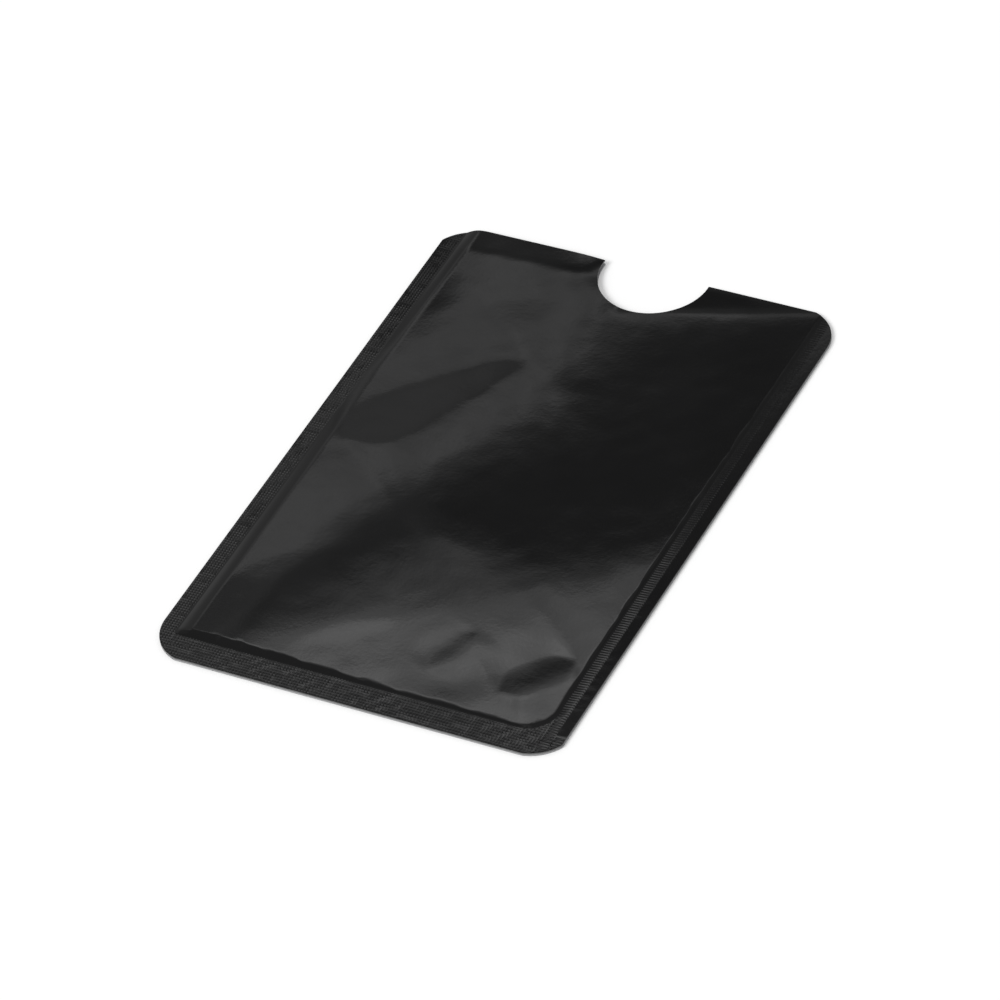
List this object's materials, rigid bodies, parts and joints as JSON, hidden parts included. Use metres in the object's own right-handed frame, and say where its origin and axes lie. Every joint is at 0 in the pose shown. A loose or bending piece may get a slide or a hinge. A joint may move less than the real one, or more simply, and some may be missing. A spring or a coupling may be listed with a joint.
{
  "type": "card sleeve",
  "caption": "Flat foil-laminate card sleeve, heat sealed on three sides, with an open mouth and a round thumb notch.",
  "frame": {"origin": "centre of the sleeve's footprint, on the outer face of the back web that it lies on", "axes": "+X across the sleeve to the right seen from the front, +Y along it towards the open mouth, +Z out of the front web"},
  "size_m": [0.061, 0.091, 0.0011],
  "materials": {
    "outer_film": "black gloss film, embossed with a fine square net on the seal bands",
    "foil": "bright rolled foil",
    "liner": "grey metallised sealing film, satin",
    "seal": "melted sealant, dull"
  },
  "bodies": {
    "root": {"back_outer_film": "outer_film", "back_foil_shield": "foil", "back_inner_liner": "liner", "bottom_seal": "seal", "left_seal": "seal", "right_seal": "seal", "front_inner_liner": "liner", "front_foil_shield": "foil", "front_outer_film": "outer_film"}
  },
  "joints": []
}
